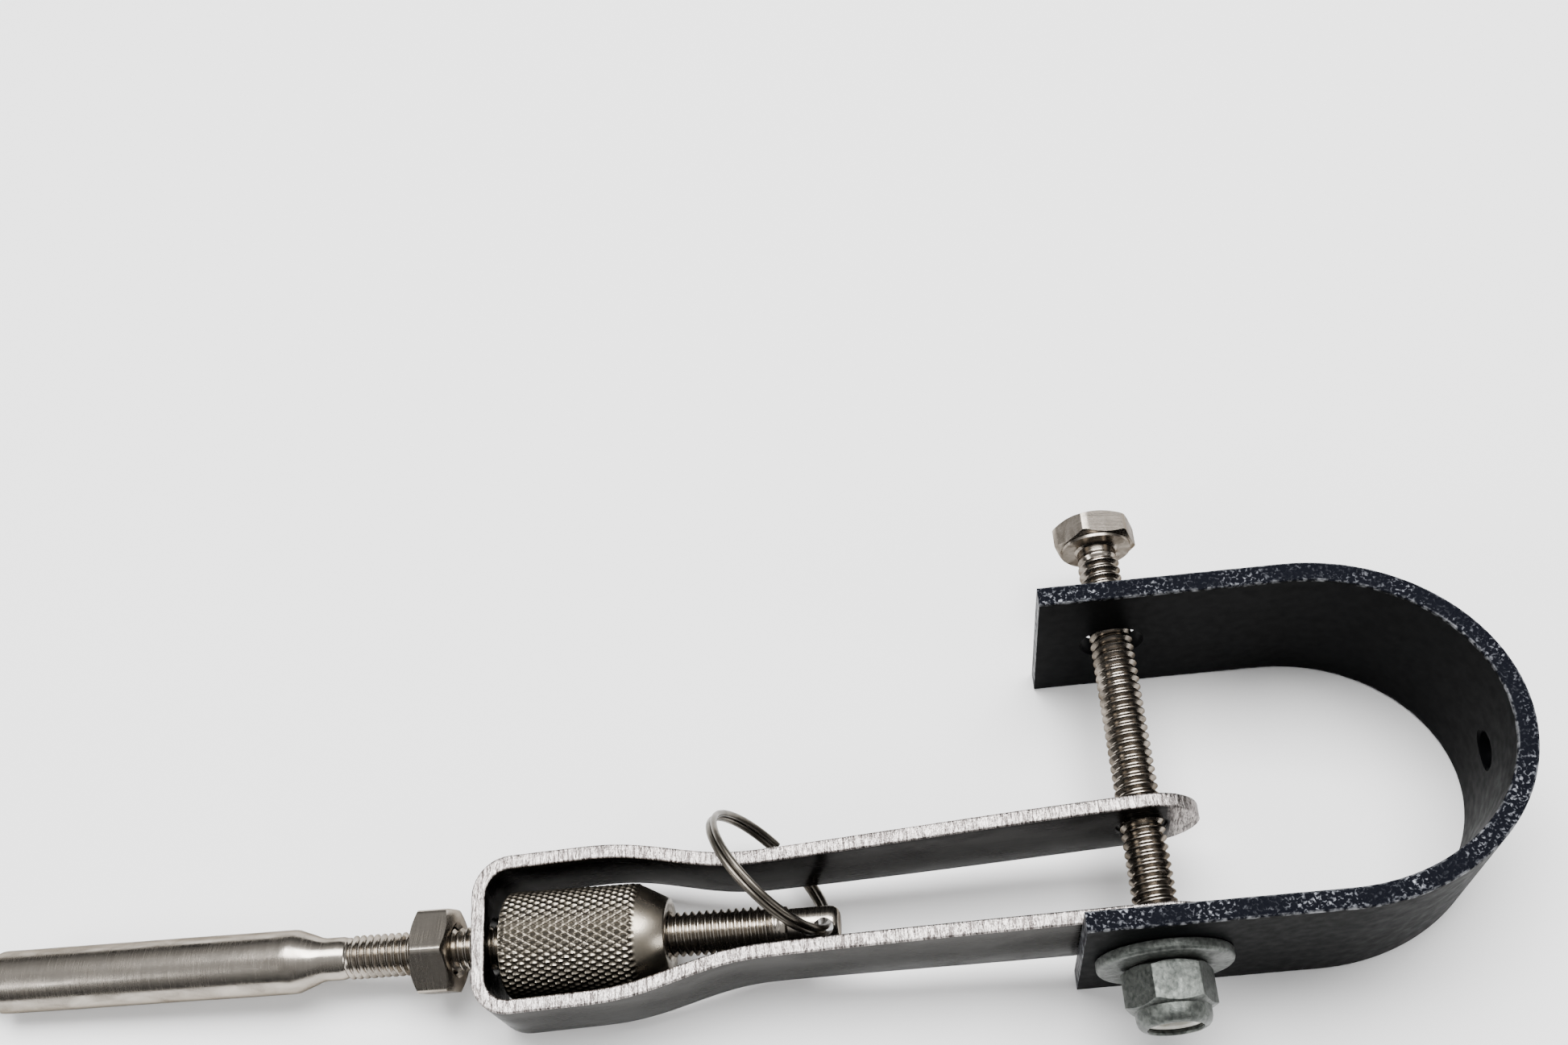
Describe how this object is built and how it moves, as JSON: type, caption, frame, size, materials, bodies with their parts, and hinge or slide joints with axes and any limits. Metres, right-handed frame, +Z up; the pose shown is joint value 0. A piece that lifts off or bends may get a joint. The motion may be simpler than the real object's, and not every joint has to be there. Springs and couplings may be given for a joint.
{
  "type": "rigging turnbuckle",
  "caption": "Rigging turnbuckle: a swaged stud on wire rope, drawn by a knurled nut into a bent-strap fork that swings on a bolt across a black U-shaped bracket.",
  "frame": {"origin": "on the ground, under the middle of the fitting's box, measured without the wire rope and its eye terminal", "axes": "+X from the wire rope towards the bracket's bend, +Y along the clevis bolt towards its head, +Z up; the bracket stands on the lower edge of its strip"},
  "size_m": [0.3508, 0.0758, 0.03],
  "materials": {
    "black_coating": "satin black powder coat over sheared steel strip, glittery where the cut edges show",
    "stainless": "bright turned stainless steel, slightly warm",
    "fork_strap": "satin cold-rolled stainless strap with bright sheared edges",
    "knurled_steel": "diamond-knurled stainless steel",
    "ring_wire": "spring wire, drawn and slightly dull",
    "rope_wire": "drawn stainless wires, laid up in a strand",
    "galvanised": "dull hot-dip galvanising, grey and slightly grainy",
    "nylon": "natural nylon"
  },
  "bodies": {
    "bracket": {"bracket": "black_coating"},
    "bolt": {"clevis_bolt": "stainless"},
    "washer": {"nut_washer": "galvanised"},
    "lock_nut": {"lock_nut": "galvanised", "nylon_insert": "nylon"},
    "fork": {"fork": "fork_strap"},
    "adjuster": {"adjuster_nut": "knurled_steel"},
    "stud": {"swage_stud": "stainless", "wire_rope": "rope_wire", "eye_terminal": "stainless"},
    "jam_nut": {"jam_nut": "stainless"},
    "cotter": {"cotter_ring": "ring_wire"}
  },
  "joints": [
    {"name": "fork_swing", "type": "hinge", "parent": "bracket", "child": "fork", "pos_m": [0.05914, -0.00347, 0.015], "axis": [0, 1, 0], "range_deg": [-86, 93]},
    {"name": "adjuster_turn", "type": "hinge", "parent": "fork", "child": "adjuster", "pos_m": [-0.03469, -0.01713, 0.00926], "axis": [0.9975, -0.0366, 0.061], "range_deg": [-1080, 3600]},
    {"name": "stud_travel", "type": "slide", "parent": "fork", "child": "stud", "axis": [-0.9975, 0.0366, -0.061], "range_m": [-0.00317, 0.01057]},
    {"name": "jam_turn", "type": "hinge", "parent": "stud", "child": "jam_nut", "pos_m": [-0.03469, -0.01713, 0.00926], "axis": [0.9975, -0.0366, 0.061], "range_deg": [-1800, 1080]},
    {"name": "cotter_swing", "type": "hinge", "parent": "stud", "child": "cotter", "pos_m": [0.01379, -0.01891, 0.01223], "axis": [-0.061, 0, 0.9981], "range_deg": [-12, 10]},
    {"name": "lock_nut_turn", "type": "hinge", "parent": "bracket", "child": "lock_nut", "pos_m": [0.05914, -0.00347, 0.015], "axis": [0, 1, 0], "range_deg": [0, 3240]},
    {"name": "bolt_draw", "type": "slide", "parent": "bracket", "child": "bolt", "axis": [0, -1, 0], "range_m": [0, 0.0114]},
    {"name": "washer_turn", "type": "hinge", "parent": "bracket", "child": "washer", "pos_m": [0.05914, -0.00347, 0.015], "axis": [0, 1, 0], "continuous": true}
  ],
  "couplings": [
    {"joint": "adjuster_turn", "follows": "stud_travel", "rad_per_m": 5938.7},
    {"joint": "lock_nut_turn", "follows": "bolt_draw", "rad_per_m": 4947.4}
  ]
}
